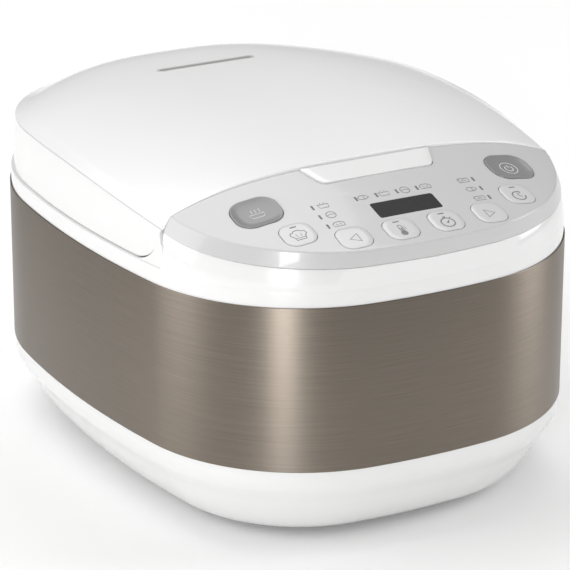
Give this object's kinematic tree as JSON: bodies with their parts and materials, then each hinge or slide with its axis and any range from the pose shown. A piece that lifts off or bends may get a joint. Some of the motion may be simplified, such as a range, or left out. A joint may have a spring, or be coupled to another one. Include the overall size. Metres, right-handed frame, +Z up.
{
  "type": "electric rice cooker",
  "caption": "Countertop rice cooker with a rounded plastic body, a brushed metal band, a sloping key panel at the front and a hinged domed lid over a lift-out bowl.",
  "frame": {"origin": "under the middle of the body, on the surface it stands on", "axes": "+X to the right when facing the key panel from behind the body's front looking to +Y, +Y from the key panel towards the hinge, +Z up"},
  "size_m": [0.288, 0.372, 0.2124],
  "materials": {
    "shell_white": "glossy moulded plastic",
    "lid_white": "glossy moulded plastic, a little greyer than the body",
    "panel_grey": "satin printed film over moulded plastic",
    "key_grey": "satin",
    "key_light": "satin, with a printed outline",
    "display_cover": "glossy, near black",
    "light_lens": "clear dark lens",
    "vent_trim": "satin silver",
    "band_metal": "brushed round the body, warm grey",
    "inner_plastic": "matt moulded plastic",
    "black_plastic": "matt",
    "foot_rubber": "matt",
    "seal_rubber": "soft silicone",
    "bowl_coating": "dark non-stick coating",
    "well_aluminium": "satin sheet",
    "plate_aluminium": "cast, turned on top",
    "element_steel": "heat-darkened tube",
    "fastener_steel": "bright zinc plate",
    "spring_steel": "bright wire",
    "contact_brass": "plain",
    "circuit_board": "solder mask over glass-fibre board",
    "board_parts": "moulded component bodies"
  },
  "bodies": {
    "root": {"base_shell": "shell_white", "feet": "foot_rubber", "body_band": "band_metal", "upper_body": "shell_white", "key_panel": "panel_grey", "tie_posts": "inner_plastic", "base_screws": "fastener_steel", "pot_well": "well_aluminium", "heating_plate": "plate_aluminium", "heating_element": "element_steel", "plate_posts": "fastener_steel", "sensor_guide": "black_plastic", "sensor_spring": "spring_steel", "power_board": "circuit_board", "power_parts": "board_parts", "power_inlet": "black_plastic", "inlet_pins": "contact_brass", "control_board": "circuit_board", "key_switches": "black_plastic", "indicator_lights": "light_lens", "display_module": "black_plastic", "display_window": "display_cover", "release_spring": "spring_steel", "latch_pin": "fastener_steel", "rear_housing": "shell_white", "hinge_pin": "fastener_steel", "hinge_springs": "spring_steel"},
    "lid": {"lid_cover": "lid_white", "lid_skirt": "shell_white", "lid_frame": "inner_plastic", "lid_catch": "fastener_steel", "lid_arms": "inner_plastic", "lid_screws": "fastener_steel", "inner_lid": "well_aluminium", "lid_gasket": "seal_rubber", "steam_duct": "inner_plastic", "steam_valve": "inner_plastic", "steam_slot_frame": "vent_trim"},
    "bowl": {"inner_bowl": "bowl_coating"},
    "sensor": {"sensor_cap": "plate_aluminium"},
    "release": {"release_button": "shell_white"},
    "latch": {"latch_hook": "fastener_steel"},
    "key_program": {"key_program": "key_grey"},
    "key_power": {"key_power": "key_grey"},
    "key_menu": {"key_menu": "key_light"},
    "key_clock": {"key_clock": "key_light"},
    "key_left": {"key_left": "key_light"},
    "key_right": {"key_right": "key_light"},
    "key_temperature": {"key_temperature": "key_light"},
    "key_timer": {"key_timer": "key_light"}
  },
  "joints": [
    {"name": "lid_hinge", "type": "hinge", "parent": "root", "child": "lid", "pos_m": [0, 0.165, 0.174], "axis": [-1, 0, 0], "range_deg": [0, 70]},
    {"name": "bowl_turn", "type": "hinge", "parent": "root", "child": "bowl", "pos_m": [0, 0.02625, 0.1], "axis": [0, 0, 1], "continuous": true},
    {"name": "sensor_slide", "type": "slide", "parent": "root", "child": "sensor", "axis": [0, 0, 1], "range_m": [-0.0025, 0], "stiffness_N_per_m": 400, "springref_m": 0.002, "deforming": ["sensor_spring"]},
    {"name": "release_press", "type": "slide", "parent": "root", "child": "release", "axis": [0, 0.2776, -0.9607], "range_m": [0, 0.003], "stiffness_N_per_m": 400, "springref_m": -0.002, "deforming": ["release_spring"]},
    {"name": "latch_turn", "type": "hinge", "parent": "root", "child": "latch", "pos_m": [0, -0.111, 0.1727], "axis": [1, 0, 0], "range_deg": [0, 10]},
    {"name": "program_press", "type": "slide", "parent": "root", "child": "key_program", "axis": [0.1512, 0.2744, -0.9496], "range_m": [0, 0.0008], "stiffness_N_per_m": 600, "springref_m": -0.001},
    {"name": "power_press", "type": "slide", "parent": "root", "child": "key_power", "axis": [-0.1512, 0.2744, -0.9496], "range_m": [0, 0.0008], "stiffness_N_per_m": 600, "springref_m": -0.001},
    {"name": "menu_press", "type": "slide", "parent": "root", "child": "key_menu", "axis": [0.1115, 0.2759, -0.9547], "range_m": [0, 0.0008], "stiffness_N_per_m": 600, "springref_m": -0.001},
    {"name": "clock_press", "type": "slide", "parent": "root", "child": "key_clock", "axis": [-0.1115, 0.2759, -0.9547], "range_m": [0, 0.0008], "stiffness_N_per_m": 600, "springref_m": -0.001},
    {"name": "left_press", "type": "slide", "parent": "root", "child": "key_left", "axis": [0.0479, 0.2773, -0.9596], "range_m": [0, 0.0008], "stiffness_N_per_m": 600, "springref_m": -0.001},
    {"name": "right_press", "type": "slide", "parent": "root", "child": "key_right", "axis": [-0.0479, 0.2773, -0.9596], "range_m": [0, 0.0008], "stiffness_N_per_m": 600, "springref_m": -0.001},
    {"name": "temperature_press", "type": "slide", "parent": "root", "child": "key_temperature", "axis": [0.0122, 0.2776, -0.9606], "range_m": [0, 0.0008], "stiffness_N_per_m": 600, "springref_m": -0.001},
    {"name": "timer_press", "type": "slide", "parent": "root", "child": "key_timer", "axis": [-0.0122, 0.2776, -0.9606], "range_m": [0, 0.0008], "stiffness_N_per_m": 600, "springref_m": -0.001}
  ],
  "couplings": [
    {"joint": "latch_turn", "follows": "release_press", "rad_per_m": 58.1}
  ]
}
